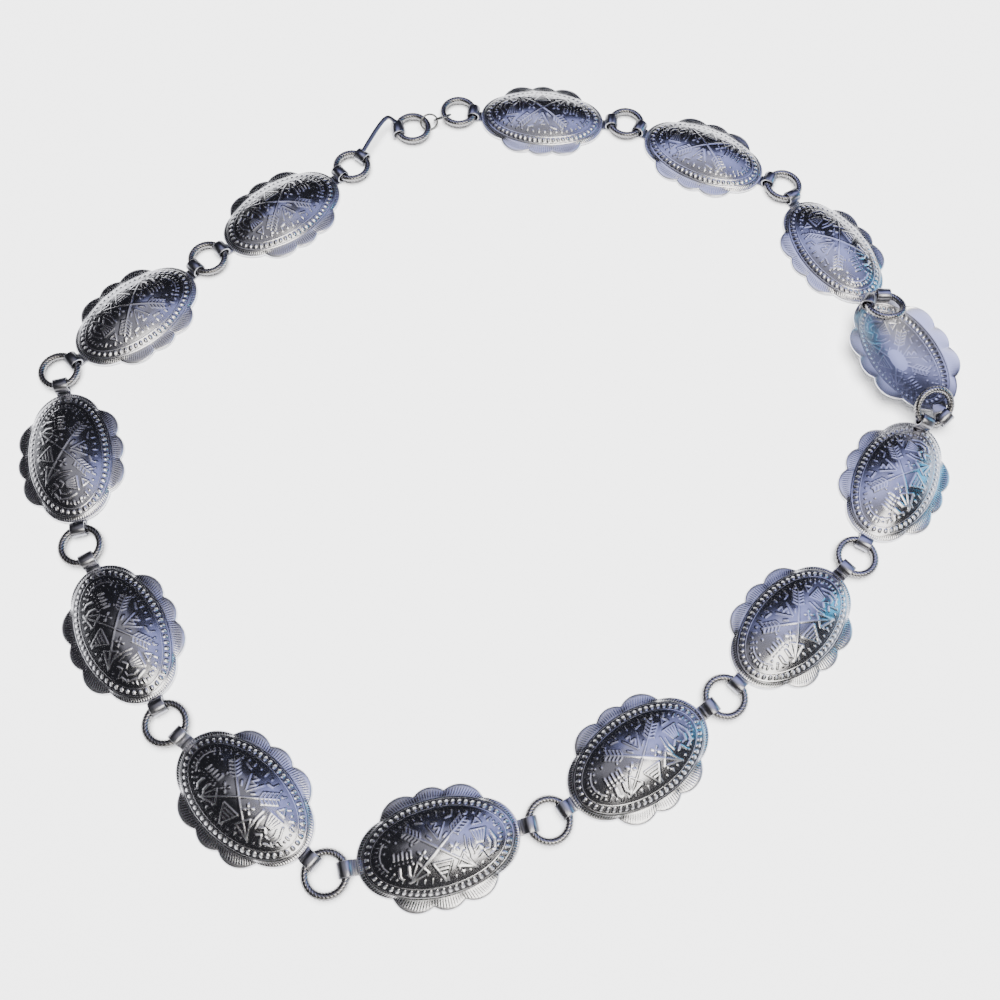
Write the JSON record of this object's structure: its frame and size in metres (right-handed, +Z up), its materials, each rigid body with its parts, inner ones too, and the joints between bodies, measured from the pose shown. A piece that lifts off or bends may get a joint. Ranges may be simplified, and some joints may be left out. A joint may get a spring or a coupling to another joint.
{
  "type": "concho belt",
  "caption": "Chain belt of domed oval medallions with scalloped rims, joined by wire rings and closed by a strip hook, lying in a closed loop.",
  "frame": {"origin": "middle of the belt's outline, on the surface it lies on", "axes": "+Z up from the surface, +X along the longer side of the loop, the clasp towards +Y"},
  "size_m": [0.3342, 0.3188, 0.0141],
  "materials": {
    "concho_metal": "polished silver-tone metal, darkened in the stamped lines",
    "ring_metal": "darker silver-tone wire with a twisted rope texture",
    "strip_metal": "plain bright silver-tone strip"
  },
  "bodies": {
    "root": {"concho_01": "concho_metal", "concho_02": "concho_metal", "concho_03": "concho_metal", "concho_04": "concho_metal", "concho_05": "concho_metal", "concho_06": "concho_metal", "concho_07": "concho_metal", "concho_08": "concho_metal", "concho_09": "concho_metal", "concho_10": "concho_metal", "concho_11": "concho_metal", "concho_12": "concho_metal", "concho_13": "concho_metal", "ring_01_02": "ring_metal", "ring_02_03": "ring_metal", "ring_03_04": "ring_metal", "ring_04_05": "ring_metal", "ring_05_06": "ring_metal", "ring_06_07": "ring_metal", "ring_07_08": "ring_metal", "ring_08_09": "ring_metal", "ring_09_10": "ring_metal", "ring_10_11": "ring_metal", "ring_11_12": "ring_metal", "ring_12_13": "ring_metal", "left_end_ring": "ring_metal", "clasp_ring": "ring_metal", "right_end_ring": "ring_metal", "hook": "strip_metal", "clasp_link_a": "strip_metal", "clasp_link_b": "strip_metal"}
  },
  "joints": []
}
